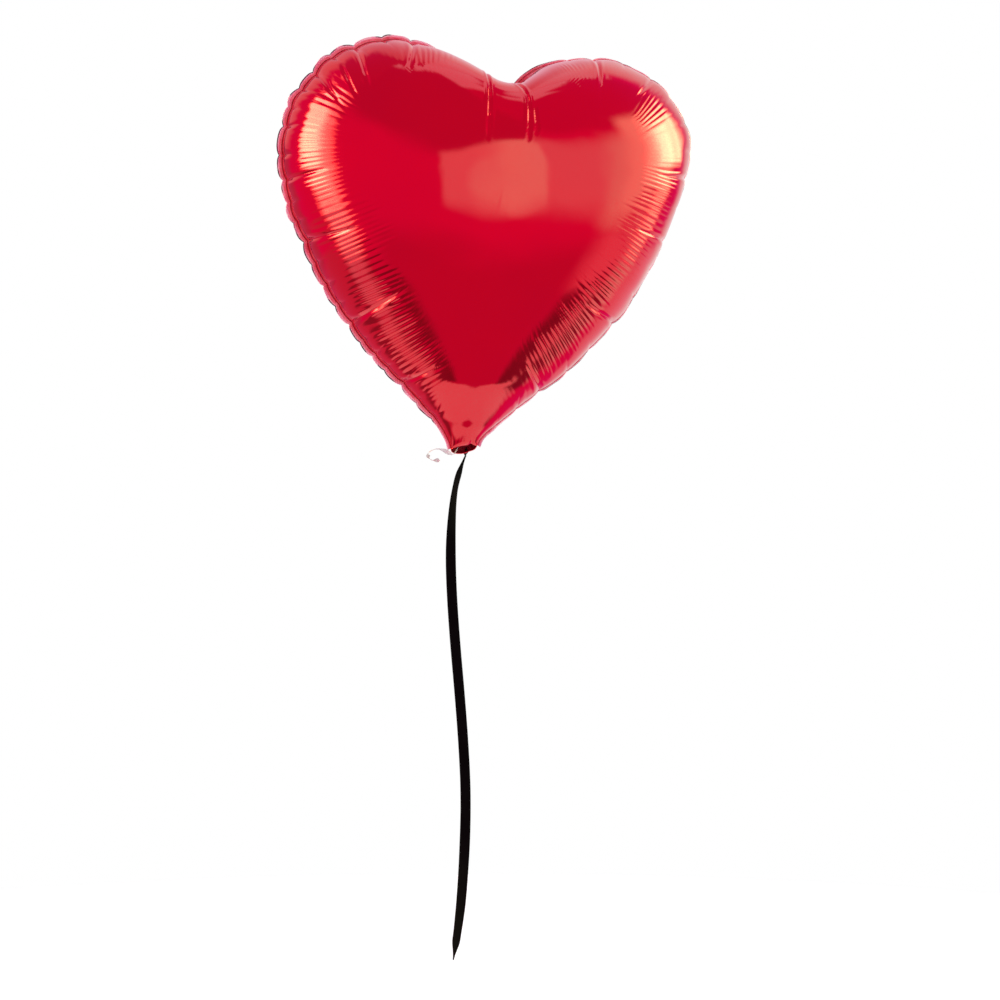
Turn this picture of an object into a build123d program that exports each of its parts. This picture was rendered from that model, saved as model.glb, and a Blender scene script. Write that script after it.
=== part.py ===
from build123d import *
from math import acos, atan2, cos, degrees, hypot, pi, radians, sin, sqrt, tan
import os

# Heart-shaped foil balloon, filled and tied, with its ribbon hanging free.
# Millimetres. +Z is up, the front of the heart faces -Y, +X is the viewer's right.
# The origin is at the middle of the tail's open mouth, where the balloon is tied and held.

# envelope: a flat 457 mm (18 inch) heart, at its filled size
# each side's lobe radius, sideways distance and height of its centre, and radius of the long flank below it;
# the left lobe is filled fuller than the right one
left_half = (105.0, -82.3, 259.1, 376.2)
right_half = (94.7, 94.7, 272.0, 364.4)
notch_r = 21.0         # fillet at the bottom of the cleft between the lobes
tip_z = 15.3           # height at which the two flanks would cross, in the middle
tip_r = 9.0            # rounding of the lower tip
dome_h = 90.0          # height of each panel's dome above the seam plane
dome_z = 236.0         # height of the dome's highest point
crown_a, crown_b = 158.0, 132.0   # half axes of the oval that the outline turns into near the crown
dome_pow = 2.75        # fullness of the dome's profile, 2 would be an ellipse
blend_pow = 1.5       # how fast the heart turns oval with height
film_t = 0.6           # modelled thickness of the film
lean = 4.4             # the filled heart leans this many degrees towards +X

# heat-sealed edge
seam_w = 5.0
seam_t = 0.8
tail_seam_w = 3.0

# tail, a short tube that flares from its flat mouth into the heart's tip: height, width and depth
tail = [(-4.2, 26.0, 7.4), (7.0, 27.5, 12.0), (18.0, 40.0, 24.0), (30.0, 62.0, 40.0), (42.0, 80.0, 54.0)]
lip_front_z, lip_back_z = 3.4, -4.0

# self-sealing valve, two clear plies inside the tail
valve_w = 18.0
valve_t = 0.4
valve_top = 88.0
tab_y0, tab_y1 = -2.4, 2.2

# ribbon
ribbon_w, ribbon_t = 9.5, 0.5
knot = Vector(2.9, 7.6, -2.2)     # centre of the knot, and pivot of the hanging ribbon
knot_r = 2.6
loop_r, loop_cord_r = 1.5, 0.4    # the small bight that holds the knot to the tail
route = [
    (2.9, 7.6, -5.6),
    (-2.2, 7.6, -17.5),
    (-7.6, 7.6, -38.0),
    (-10.1, 7.6, -66.0),
    (-10.9, 7.6, -98.0),
    (-9.6, 7.6, -134.0),
    (-6.6, 7.6, -176.0),
    (-2.4, 7.6, -222.0),
    (1.2, 7.6, -268.0),
    (3.4, 7.6, -312.0),
    (2.8, 7.6, -352.0),
    (0.7, 7.6, -391.0),
    (-2.5, 7.6, -428.5),
    (-8.3, 7.6, -465.0),
]

samples = 60           # outline points per side
levels = 9             # cross-sections between seam and crown


def arc(cx, cz, r, a0, a1, n):
    """Points of a circle from angle a0 to a1, in radians."""
    return [(cx + r * cos(a0 + (a1 - a0) * i / n), cz + r * sin(a0 + (a1 - a0) * i / n)) for i in range(n + 1)]


def meet(p, rp, q, rq, up):
    """Where circles of radius rp about p and rq about q cross: the upper point if up is 1, the lower if -1."""
    dx, dz = q[0] - p[0], q[1] - p[1]
    d = hypot(dx, dz)
    along = (rp * rp - rq * rq + d * d) / (2 * d)
    out = up * sqrt(rp * rp - along * along) * (1 if dx > 0 else -1)
    return p[0] + (dx * along - dz * out) / d, p[1] + (dz * along + dx * out) / d


def flank_centre(half):
    """Centre of the circle that touches the lobe from outside and passes through (0, tip_z)."""
    r, x, z, flank = half
    k = flank - r
    d = hypot(x, z - tip_z)
    turn = acos((d * d + k * k - flank ** 2) / (2 * d * k))
    a = atan2(z - tip_z, abs(x)) - turn
    return (abs(x) - k * cos(a)) * (1 if x > 0 else -1), z - k * sin(a)


def outline(grow):
    """The heart's two sides, each from the cleft to the tip, moved outwards by grow."""
    rl, xl, zl, fl = left_half
    rr, xr, zr, fr = right_half
    cleft = meet((xl, zl), rl + notch_r, (xr, zr), rr + notch_r, 1)
    left, right = flank_centre(left_half), flank_centre(right_half)
    tip = meet(left, fl - tip_r, right, fr - tip_r, -1)
    sides = []
    for (r, x, z, flank), centre, way in ((right_half, right, 1), (left_half, left, -1)):
        # worked out as a right-hand side, with x mirrored for the left one
        cx, cz, lx = way * cleft[0], cleft[1], way * x
        sx, sz, tx, tz = way * centre[0], centre[1], way * tip[0], tip[1]
        cleft_a = atan2(z - cz, lx - cx)
        side_a = atan2(z - sz, lx - sx)
        tip_a = atan2(tz - sz, tx - sx)
        pts = arc(cx, cz, notch_r - grow, -pi / 2, cleft_a, 24)
        pts += arc(lx, z, r + grow, cleft_a + pi, side_a, 240)[1:]
        pts += arc(sx, sz, flank + grow, side_a, tip_a, 240)[1:]
        pts += arc(tx, tz, tip_r + grow, tip_a, -pi / 2, 24)[1:]
        sides.append([(way * px, pz) for px, pz in even(pts, samples)])
    return sides[0] + sides[1][-2:0:-1]


def even(pts, n):
    """The same line with n equal steps."""
    run = [0.0]
    for p, q in zip(pts, pts[1:]):
        run.append(run[-1] + hypot(q[0] - p[0], q[1] - p[1]))
    out, j = [], 0
    for i in range(n + 1):
        s = run[-1] * i / n
        while j < len(run) - 2 and run[j + 1] < s:
            j += 1
        f = (s - run[j]) / (run[j + 1] - run[j])
        out.append((pts[j][0] + f * (pts[j + 1][0] - pts[j][0]), pts[j][1] + f * (pts[j + 1][1] - pts[j][1])))
    return out


def outline_wire(pts, y):
    """Smooth closed wire through pts in the plane at y."""
    n = len(pts)
    return Wire([Edge.make_spline([Vector(x, y, z) for x, z in pts], periodic=True,
                                  parameters=[i / n for i in range(n + 1)])])


def level(rim, height, top):
    """Outline of the dome at a height above the seam: a heart at the rim, an oval at the crown."""
    f = height / top
    scale = (1 - f * f) ** (1 / dome_pow)
    w = f ** blend_pow
    out = []
    for x, z in rim:
        r, a = hypot(x, z - dome_z), atan2(z - dome_z, x)
        oval = crown_a * crown_b / hypot(crown_b * cos(a), crown_a * sin(a))
        reach = scale * ((1 - w) * r + w * oval)
        out.append((reach * cos(a), dome_z + reach * sin(a)))
    return out


def dome(grow, side):
    """Solid dome on one side of the seam plane: side is -1 for the front, 1 for the back."""
    rim = outline(grow)
    top = dome_h + grow
    wires = []
    for i in range(levels + 1):
        height = top * sin(pi / 2 * (i / levels) * 0.985)
        wires.append(outline_wire(level(rim, height, top), side * height))
    last = level(rim, top * sin(pi / 2 * 0.985), top)
    crown = Vertex(sum(p[0] for p in last) / len(last), side * top, dome_z)
    return Solid.make_loft(wires + [crown])


def tail_solid(inset):
    """The flared tube below the tip, inset by the film's thickness for its inside."""
    return loft([Plane(origin=(0, 0, z)) * SlotOverall(w - 2 * inset, d - 2 * inset) for z, w, d in tail])


def below_lip():
    """Everything below the slanted mouth, whose back lip hangs lower than its front lip."""
    slope = degrees(atan2(lip_front_z - lip_back_z, tail[0][2]))
    cut = Pos(0, 0, -20) * Box(60, 60, 40)
    return Pos(0, 0, (lip_front_z + lip_back_z) / 2) * Rot(-slope, 0, 0) * cut


def ply(path, x0, x1):
    """A film that follows a line in the YZ plane, from x0 to x1; its thickness lies on the +Y side."""
    band = path + [(y + valve_t, z) for y, z in reversed(path)]
    face = make_face(Polyline([(x0, y, z) for y, z in band], close=True))
    return extrude(face, amount=x1 - x0, dir=(1, 0, 0))


def panel(side):
    """One foil panel: a thin dome, open at the tip where the tail joins it."""
    return outer[side] - inner[side] - bore


def edge_seam():
    """The fused flange around the heart and down both sides of the tail."""
    rim = Face(outline_wire(outline(seam_w), 0))
    band = extrude(rim, amount=seam_t / 2, dir=(0, 1, 0), both=True)
    side = [(w / 2 + tail_seam_w, z) for z, w, d in tail]
    strip = make_face(Polyline([(x, 0, z) for x, z in side + [(-x, z) for x, z in reversed(side)]], close=True))
    band += extrude(strip, amount=seam_t / 2, dir=(0, 1, 0), both=True)
    return band - outer[-1] - outer[1] - tail_solid(0) - below_lip()


def inflation_tail():
    """The tail's two walls, from the heart's tip down to the open mouth."""
    return tail_solid(0) - bore - outer[-1] - outer[1] - below_lip()


def valve_front():
    """Front ply: lies on the tail's front wall at the mouth and meets the back ply higher up."""
    return ply([(-4.1, 5.0), (-4.6, 10.0), (-0.4, 34.0), (-0.4, valve_top)], -valve_w / 2, valve_w / 2)


def valve_back():
    """Back ply: lies on the tail's back wall at the mouth."""
    return ply([(3.5, 3.6), (4.2, 10.0), (0.0, 34.0), (0.0, valve_top)], -valve_w / 2, valve_w / 2)


def valve_tab():
    """Loose end of the valve's sleeve: it leaves the mouth and curls back under itself, out to -X."""
    run = [(-5.0, 6.5), (-8.6, -6.6), (-21.0, -1.2), (-31.5, -3.2), (-34.0, -8.0), (-29.5, -12.4), (-22.0, -11.4)]
    radii = corner_radii(run, 0)
    line = FilletPolyline([(x, tab_y0, z) for x, z in run], radius=radii)
    start = Plane(origin=line @ 0, x_dir=(0, 1, 0), z_dir=line % 0)
    strip = sweep(start * Pos((tab_y1 - tab_y0) / 2, 0) * Rectangle(tab_y1 - tab_y0, valve_t), path=line)
    foot = Pos(-4.8, 1.0, 6.7) * Box(3.0, 6.8, valve_t)
    return strip + foot


def corner_radii(points, y):
    """The largest arc that each corner of a route leaves room for."""
    pts = [Vector(p[0], y, p[-1]) for p in points]
    out = []
    for a, b, c in zip(pts, pts[1:], pts[2:]):
        turn = radians((b - a).get_angle(c - b))
        out.append(0.45 * min((b - a).length, (c - b).length) / tan(turn / 2))
    return out


def ribbon_loop():
    """The ribbon's bight through the eyelet in the tail's back lip, just above the knot."""
    return Pos(knot.X, 3.6, 0.6) * Rot(0, 90, 0) * Torus(loop_r, loop_cord_r)


def ribbon_knot():
    return Pos(*knot) * Sphere(knot_r)


def ribbon():
    radii = corner_radii(route, route[0][1])
    line = FilletPolyline(route, radius=radii)
    section = Plane(origin=line @ 0, x_dir=(0, 1, 0), z_dir=line % 0) * Rectangle(ribbon_t, ribbon_w)
    strip = sweep(section, path=line)
    print("ribbon radii", [round(r) for r in radii])
    print("ribbon length", round(line.length, 1), "volume", round(strip.volume, 1),
          "section x length", round(ribbon_w * ribbon_t * line.length, 1))
    return strip


def lean_over(shape):
    return Rot(0, lean, 0) * shape


outer = {side: dome(0, side) for side in (-1, 1)}
inner = {side: dome(-film_t, side) for side in (-1, 1)}
bore = tail_solid(film_t)

nodes = {
    "front_foil": lean_over(panel(-1)),
    "back_foil": lean_over(panel(1)),
    "edge_seam": lean_over(edge_seam()),
    "inflation_tail": lean_over(inflation_tail()),
    "valve_front_film": lean_over(valve_front()),
    "valve_back_film": lean_over(valve_back()),
    "valve_tab": lean_over(valve_tab()),
    "ribbon_loop": ribbon_loop(),
    "ribbon_knot": ribbon_knot(),
    "ribbon": ribbon(),
}

os.makedirs("parts", exist_ok=True)
for name, shape in nodes.items():
    shape.label = name
    export_step(shape, "parts/" + name + ".step")
    box = shape.bounding_box()
    print(name, len(shape.solids()), round(shape.volume), shape.is_valid,
          [round(v, 1) for v in (*box.min, *box.max)])
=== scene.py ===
from math import acos, atan2, cos, hypot, pi, radians, sin, sqrt, tan

import bpy
import numpy as np
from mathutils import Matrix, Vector


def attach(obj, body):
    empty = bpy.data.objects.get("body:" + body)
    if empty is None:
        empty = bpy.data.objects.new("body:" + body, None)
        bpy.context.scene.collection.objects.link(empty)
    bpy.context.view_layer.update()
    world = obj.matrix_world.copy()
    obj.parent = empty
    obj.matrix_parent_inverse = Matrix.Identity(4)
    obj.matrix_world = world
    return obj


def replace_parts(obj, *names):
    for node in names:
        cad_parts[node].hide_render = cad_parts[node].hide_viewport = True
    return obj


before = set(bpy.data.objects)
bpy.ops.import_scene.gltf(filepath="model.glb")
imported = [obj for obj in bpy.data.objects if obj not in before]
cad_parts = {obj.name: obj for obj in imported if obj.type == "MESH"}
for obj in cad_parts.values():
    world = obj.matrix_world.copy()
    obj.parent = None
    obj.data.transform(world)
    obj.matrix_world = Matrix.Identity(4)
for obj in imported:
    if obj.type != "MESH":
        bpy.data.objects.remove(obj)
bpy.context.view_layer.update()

MM = 0.001

# ---------------------------------------------------------------- the heart's outline and dome, as in part.py
# each side's lobe radius, sideways distance and height of its centre, and flank radius, in mm
LEFT_HALF = (105.0, -82.3, 259.1, 376.2)
RIGHT_HALF = (94.7, 94.7, 272.0, 364.4)
NOTCH_R, TIP_Z = 21.0, 15.3
DOME_H, DOME_Z = 90.0, 236.0
CROWN_A, CROWN_B = 158.0, 132.0
DOME_POW, BLEND_POW = 2.75, 1.5
NECK_FULL = 5.0        # how much the neck swells above the mouth
LEAN = radians(4.4)
SEAM_W, TAIL_SEAM_W = 5.0, 3.0
TAIL_TOP = 27.0        # height up to which the visual tail reaches
BEND_Z = 48.0          # height at which a flank leaves its arc and bends into the tail
BEND_PULL, NECK_PULL = (17.0, 17.5), (13.0, 15.0)   # pull of that bend's ends: down the flank, up the neck
MOUTH_X, MOUTH_Y, MOUTH_Z = 12.4, 3.7, 3.0
KNOT = (2.9, 7.6, -2.2)
RIBBON_W = 9.5
# the hanging ribbon's route, from the knot down
ROUTE = [
    (2.9, 7.6, -5.6),
    (-2.2, 7.6, -17.5),
    (-7.6, 7.6, -38.0),
    (-10.1, 7.6, -66.0),
    (-10.9, 7.6, -98.0),
    (-9.6, 7.6, -134.0),
    (-6.6, 7.6, -176.0),
    (-2.4, 7.6, -222.0),
    (1.2, 7.6, -268.0),
    (3.4, 7.6, -312.0),
    (2.8, 7.6, -352.0),
    (0.7, 7.6, -391.0),
    (-2.5, 7.6, -428.5),
    (-8.3, 7.6, -465.0),
]
AROUND = 1792          # columns of the panels' grids, round the heart

# ---------------------------------------------------------------- camera
YAW, DISTANCE = radians(-12.0), 3000.0
VIEW_W = 910.25         # what the picture spans at the heart, in mm
SENSOR = 36.0
back = Vector((sin(YAW), -cos(YAW), 0.0))
right = Vector((cos(YAW), sin(YAW), 0.0))
aim = (right * 32.9 + Vector((0, 0, -45.6))) * MM
cam = bpy.data.objects.new("camera", bpy.data.cameras.new("camera"))
bpy.context.collection.objects.link(cam)
cam.location = aim + back * DISTANCE * MM
cam.rotation_mode = "QUATERNION"
cam.rotation_quaternion = (-back).to_track_quat("-Z", "Y")
cam.data.sensor_width = SENSOR
cam.data.lens = SENSOR * DISTANCE / VIEW_W
bpy.context.scene.camera = cam
bpy.context.scene.view_settings.view_transform = "Standard"


# ---------------------------------------------------------------- helpers
def smooth(lo, hi, v):
    """0 below lo and 1 above hi, with a soft step between them."""
    t = np.clip((v - lo) / (hi - lo), 0.0, 1.0)
    return t * t * (3 - 2 * t)


def between(a, b, c, d, v):
    """1 from b to c, and 0 before a and after d."""
    return smooth(a, b, v) * (1 - smooth(c, d, v))


def softened(v, times):
    """A closed run of values, each mixed with its neighbours."""
    for _ in range(times):
        v = 0.5 * v + 0.25 * (np.roll(v, 1, 0) + np.roll(v, -1, 0))
    return v


def unit(v):
    """Vectors along the last axis, made one long."""
    return v / np.linalg.norm(v, axis=-1, keepdims=True)


def leaned(p):
    """Points in mm in the upright heart's frame to metres in the row frame."""
    c, s = cos(LEAN), sin(LEAN)
    out = np.empty_like(p)
    out[..., 0] = (p[..., 0] * c + p[..., 2] * s) * MM
    out[..., 1] = p[..., 1] * MM
    out[..., 2] = (-p[..., 0] * s + p[..., 2] * c) * MM
    return out


def new_mesh(name, verts, faces, body, mat, normals=None):
    me = bpy.data.meshes.new(name)
    me.from_pydata(np.asarray(verts, float).reshape(-1, 3).tolist(), [], faces)
    me.polygons.foreach_set("use_smooth", [True] * len(me.polygons))
    me.materials.append(mat)
    me.update()
    if normals is not None:
        me.normals_split_custom_set_from_vertices(normals.tolist())
    ob = bpy.data.objects.new(name, me)
    bpy.context.collection.objects.link(ob)
    if body:
        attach(ob, body)
    return ob


def grid_faces(rows, cols, closed=False, offset=0, flip=False):
    out = []
    for i in range(rows - 1):
        row, below = offset + i * cols, offset + (i + 1) * cols
        for j in range(cols if closed else cols - 1):
            k = (j + 1) % cols
            q = (row + j, row + k, below + k, below + j)
            out.append(q[::-1] if flip else q)
    return out


def two_sided(front, back):
    """Vertices and faces of a thin strip: two grids of one size, joined round their edge."""
    rows, cols = front.shape[:2]
    n = rows * cols
    faces = grid_faces(rows, cols) + grid_faces(rows, cols, offset=n, flip=True)
    ring = [*range(cols), *(cols * i + cols - 1 for i in range(1, rows))]
    ring += [(rows - 1) * cols + j for j in range(cols - 2, -1, -1)]
    ring += [cols * i for i in range(rows - 2, 0, -1)]
    faces += [(a, a + n, b + n, b) for a, b in zip(ring, ring[1:] + ring[:1])]
    return np.vstack([front.reshape(-1, 3), back.reshape(-1, 3)]), faces


def wave_noise(s, seed, lo, hi, n=14):
    """Smooth periodic noise round the edge, about -1 to 1, with lo to hi waves per turn."""
    rng = np.random.default_rng(seed)
    out = np.zeros_like(s)
    for _ in range(n):
        out += np.sin(2 * pi * (rng.integers(lo, hi + 1) * s + rng.random())) * rng.uniform(0.5, 1.0)
    return out / (0.45 * n)


# ---------------------------------------------------------------- outline
def arc(cx, cz, r, a0, a1, n):
    turns = [a0 + (a1 - a0) * i / n for i in range(n + 1)]
    return [(cx + r * cos(a), cz + r * sin(a)) for a in turns]


def cleft_centre():
    """Centre of the fillet between the lobes: it touches both of them from outside."""
    rl, xl, zl, _ = LEFT_HALF
    rr, xr, zr, _ = RIGHT_HALF
    dx, dz = xr - xl, zr - zl
    d = hypot(dx, dz)
    a, b = rl + NOTCH_R, rr + NOTCH_R
    along = (a * a - b * b + d * d) / (2 * d)
    out = sqrt(a * a - along * along)
    return xl + (dx * along - dz * out) / d, zl + (dz * along + dx * out) / d


def half_outline(half, way):
    """One side of the sealed edge as a right-hand side, from the cleft down to the tail, in mm."""
    r, x, z, flank = half
    cx, cz = cleft_centre()
    cx, x = way * cx, way * x
    cleft_a = atan2(z - cz, x - cx)
    k = flank - r
    d = hypot(x, z - TIP_Z)
    a = atan2(z - TIP_Z, x) - acos((d * d + k * k - flank ** 2) / (2 * d * k))
    sx, sz = x - k * cos(a), z - k * sin(a)
    pts = arc(cx, cz, NOTCH_R, -pi / 2, cleft_a, 40)
    pts += arc(x, z, r, cleft_a + pi, a, 300)[1:]
    end = atan2(BEND_Z - sz, sqrt(flank ** 2 - (BEND_Z - sz) ** 2))
    pts += arc(sx, sz, flank, a, end, 300)[1:]
    # the film flares out of the tail in one soft bend
    start = np.array(pts[-1])
    t = np.linspace(0, 1, 60)[1:, None]
    u = 1 - t
    bend = u ** 3 * start + 3 * u * u * t * (start - BEND_PULL)
    bend += 3 * u * t * t * np.array(NECK_PULL) + t ** 3 * np.array((MOUTH_X, MOUTH_Z))
    return np.vstack([pts, bend])


def outline():
    """The whole sealed edge as AROUND even points: from the cleft down the right side, then up the left."""
    whole = np.vstack([half_outline(RIGHT_HALF, 1), half_outline(LEFT_HALF, -1)[::-1] * (-1, 1)])
    run = np.r_[0, np.cumsum(np.hypot(*np.diff(whole, axis=0).T))]
    t = np.linspace(0, run[-1], AROUND, endpoint=False)
    pts = np.c_[np.interp(t, run, whole[:, 0]), np.interp(t, run, whole[:, 1])]
    return softened(pts, 6), run[-1]


RIM, RIM_LEN = outline()
S = np.arange(AROUND) / AROUND
S_TAIL = S[np.argmin(np.hypot(RIM[:, 0], RIM[:, 1] - MOUTH_Z))]
COL_TAIL = int(round(S_TAIL * AROUND))


def across_neck(x, z):
    """How far across the neck a point lies: -1 and 1 at the sealed edges at that height."""
    sides = []
    for way in (-1, 1):
        line = RIM[(COL_TAIL - way * np.arange(4, 240)) % AROUND]
        line = line[np.abs(line[:, 0]) > MOUTH_X - 0.8]
        line = line[np.argsort(line[:, 1])]
        sides.append(np.interp(z, line[:, 1], line[:, 0]))
    lo, hi = np.minimum(*sides), np.maximum(*sides)
    return np.clip((2 * x - lo - hi) / (hi - lo), -1, 1)


def off(s, place):
    """Signed distance round the edge from a place, in mm."""
    return ((s - place + 0.5) % 1.0 - 0.5) * RIM_LEN


def dome_points(phis):
    """Smooth dome: rows from the sealed edge to the crown, in mm, front at -Y."""
    # the tail's narrow neck shows in the first rows only: higher up the lower tip is round
    half, spread = 160, 52.0       # in columns
    bell = np.exp(-0.5 * (np.arange(-half, half + 1) / spread) ** 2)
    wide = [np.convolve(np.pad(line, half, mode="wrap"), bell / bell.sum(), "valid") for line in RIM.T]
    by_place = 1 - smooth(70, 150, np.abs(off(S, S_TAIL)))
    by_row = smooth(radians(3), radians(27), phis)
    rim = RIM + (np.stack(wide, -1) - RIM) * by_place[None, :, None] * by_row[:, None, None]
    r = np.hypot(rim[..., 0], rim[..., 1] - DOME_Z)
    a = np.arctan2(rim[..., 1] - DOME_Z, rim[..., 0])
    oval = CROWN_A * CROWN_B / np.hypot(CROWN_B * np.cos(a), CROWN_A * np.sin(a))
    f = np.sin(phis)[:, None]
    reach = np.cos(phis)[:, None] ** (2 / DOME_POW) * ((1 - f ** BLEND_POW) * r + f ** BLEND_POW * oval)
    x, z = reach * np.cos(a), DOME_Z + reach * np.sin(a)
    y = -DOME_H * f * (0.5 + 0.5 * smooth(2.0, 62.0, z))
    # the neck is a plain lens in section
    centre = np.interp(z, z[:, COL_TAIL], y[:, COL_TAIL])
    lens = centre * np.sqrt(1 - across_neck(x, z) ** 2)
    y += (lens - y) * (1 - smooth(14, 44, z)) * (1 - smooth(60, 130, np.abs(off(S, S_TAIL))))
    # and keeps swelling evenly from the mouth up, like a cone
    y -= NECK_FULL * smooth(8, 23, z) * (1 - smooth(24, 110, z)) * np.sqrt(1 - across_neck(x, z) ** 2)
    return np.stack([x, y, z], -1)


PHIS = np.r_[np.linspace(0, 1, 39) ** 1.15 * radians(37),
             radians(37) + radians(49.5) * np.linspace(0, 1, 41)[1:] ** 0.9]
BASE = dome_points(PHIS)
DEPTH = np.vstack([np.zeros((1, AROUND)), np.cumsum(np.linalg.norm(np.diff(BASE, axis=0), axis=-1), 0)])


def nearest_edge():
    """For each point of the dome, seen from the front, the nearest place along the edge, and how far."""
    place, dist = np.empty(DEPTH.shape), np.empty(DEPTH.shape)
    # columns between samples, and how many columns to either side a point's nearest place may lie
    every, reach = 4, 400
    cols = np.arange(0, AROUND, every)
    near = (cols[:, None] + np.arange(-reach, reach + 1, every)) % AROUND
    here, known = np.arange(AROUND), np.r_[cols, AROUND]
    for i in range(len(PHIS)):
        d = np.hypot(BASE[i, cols, 0, None] - RIM[near, 0], BASE[i, cols, 2, None] - RIM[near, 1])
        # the true foot lies between samples: a parabola through the three nearest
        j = np.clip(d.argmin(1), 1, near.shape[1] - 2)
        k = np.arange(len(cols))
        a, b, c = d[k, j - 1] ** 2, d[k, j] ** 2, d[k, j + 1] ** 2
        part = np.clip(0.5 * (a - c) / (a - 2 * b + c + 1e-9), -1, 1)
        step = softened((j - reach // every) * float(every) + every * part, 3)
        low = d.min(1)
        place[i] = S + np.interp(here, known, np.r_[step, step[0]]) / AROUND
        dist[i] = np.interp(here, known, np.r_[low, low[0]])
    return place, dist


EDGE_S, EDGE_D = nearest_edge()

# ---------------------------------------------------------------- film wrinkles
# Pinches: place along the edge (fraction clockwise from the cleft), depth at the edge, half width, length up
# the dome, slant in degrees off the edge's normal, and how far in it starts, in mm.
PINCHES = [
    (0.011, 1.8, 3.4, 30, 0, 0), (0.062, 1.4, 3.2, 16, 0, 0),
    (0.082, 2.8, 4.2, 98, -9, 0), (0.106, 1.2, 3.0, 20, 0, 0), (0.130, 2.2, 3.6, 62, -14, 0),
    (0.151, 0.9, 3.0, 18, 0, 0), (0.172, 1.0, 3.0, 18, 0, 0), (0.193, 1.0, 3.0, 18, 0, 0),
    (0.214, 2.8, 4.0, 74, 14, 0), (0.240, 1.0, 3.0, 20, 0, 0), (0.267, 2.8, 4.0, 88, 18, 0),
    (0.292, 0.9, 3.0, 20, 0, 0), (0.317, 1.2, 3.2, 24, 0, 0), (0.343, 2.8, 4.2, 78, 22, 0),
    (0.370, 1.0, 3.0, 20, 0, 0), (0.395, 1.2, 3.2, 22, 0, 0), (0.422, 2.8, 4.2, 66, 8, 0),
    (0.444, 1.2, 3.2, 22, 0, 0), (0.465, 0.9, 3.0, 18, 0, 0),
    (0.535, 1.8, 3.4, 28, 0, 0), (0.552, 1.2, 3.2, 18, 0, 0), (0.570, 3.0, 4.6, 60, -19, 0),
    (0.587, 1.6, 3.2, 20, 0, 0), (0.601, 2.0, 3.4, 26, 0, 0), (0.615, 1.4, 3.0, 16, 0, 0),
    (0.631, 3.2, 5.0, 86, -1, 0), (0.648, 1.6, 3.2, 20, 0, 0), (0.666, 2.0, 3.4, 26, 0, 0),
    (0.684, 1.6, 3.2, 18, 0, 0), (0.702, 3.2, 5.0, 82, -11, 0), (0.718, 1.8, 3.2, 22, 0, 0),
    (0.734, 1.8, 3.2, 20, 0, 0), (0.751, 3.0, 4.6, 74, 1, 0), (0.770, 2.0, 3.4, 22, 0, 0),
    (0.792, 2.6, 3.6, 30, 18, 0), (0.807, 2.0, 3.2, 18, 0, 0), (0.823, 2.0, 3.4, 20, 0, 0),
    (0.839, 2.8, 4.0, 68, -22, 0), (0.859, 2.4, 3.8, 72, -21, 30), (0.857, 1.8, 3.2, 16, 0, 0),
    (0.876, 3.0, 4.4, 76, -19, 0), (0.898, 1.8, 3.4, 18, 0, 0), (0.920, 3.4, 4.8, 84, -16, 0),
    (0.942, 0.9, 3.0, 16, 0, 0), (0.987, 1.8, 3.6, 30, 0, 0),
]
# Long creases below the cleft: points (x, z) in mm, depth and half width.
CREASES = [
    ([(-13, 352), (-15, 332), (-16, 312), (-17, 290), (-17, 270)], 1.6, 0.9),
    ([(7, 352), (12, 331), (16, 325), (19, 316), (20, 304), (20, 284), (21, 273)], 1.6, 0.9),
    ([(25, 308), (27, 293), (28, 282)], 1.3, 0.9),
]
# Fine ribs on the front: place, strength and slant in degrees.
RIBS = [
    (0.0, 0.0, 0), (0.044, 0.1, 0), (0.050, 1.0, 0), (0.062, 1.0, 0), (0.070, 0.1, 0), (0.122, 0.15, 0),
    (0.131, 1.0, 0), (0.165, 1.0, 0), (0.174, 0.15, 0), (0.206, 0.15, 8), (0.215, 0.8, 10), (0.262, 0.9, 10),
    (0.268, 0.6, 8), (0.29, 0.8, 6), (0.335, 1.0, 10), (0.344, 1.0, 6), (0.41, 1.0, 0), (0.424, 0.4, 0),
    (0.45, 0.1, 0), (0.54, 0.15, 0), (0.562, 0.6, -8), (0.575, 1.0, -10), (0.63, 1.0, -14), (0.66, 1.0, -6),
    (0.70, 1.0, 0), (0.838, 1.0, 0), (0.848, 0.15, 0), (0.895, 0.1, 0), (0.915, 0.2, 0), (0.922, 1.2, 0),
    (0.947, 1.0, 0), (0.955, 0.1, 0), (1.0, 0.0, 0),
]
# How far in from the edge the ribs start and end: place, start and end in mm.
RIB_REACH = [
    (0.05, 34, 86), (0.139, 20, 82), (0.24, 38, 98), (0.31, 46, 100), (0.344, 46, 98), (0.388, 30, 90),
    (0.43, 22, 78), (0.56, 18, 76), (0.61, 22, 88), (0.675, 38, 100), (0.725, 34, 108), (0.773, 24, 90),
    (0.80, 16, 74), (0.84, 16, 72), (0.93, 34, 74),
]
FLANK_PITCH, LOBE_PITCH = 5.2, 7.4     # about how far apart the ribs are, in mm
RIB_KINDS = 600                        # how many ribs have a length and strength of their own
# Where the filled edge departs from plain arcs: place, outward move in mm, and half width as a fraction of the
# edge.
DRIFTS = [
    (0.030, 2.5, 0.018), (0.100, 2.6, 0.016), (0.138, 4.5, 0.020), (0.178, 5.6, 0.028), (0.405, 1.4, 0.020),
    (0.236, -2.5, 0.030), (0.330, 2.0, 0.014), (0.813, 2.0, 0.010), (0.852, 3.0, 0.011), (0.868, 2.2, 0.007),
    (0.885, 1.0, 0.010), (0.908, 2.4, 0.016), (0.955, -3.0, 0.026), (0.725, 1.5, 0.010),
]
# Soft folds that run up from the mouth: distance round the edge from its middle, depth, half width and length,
# in mm.
MOUTH_FOLDS = [(-6.0, 0.25, 2.0, 24), (3.0, 0.18, 1.8, 16), (8.5, 0.22, 1.8, 20)]


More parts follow.
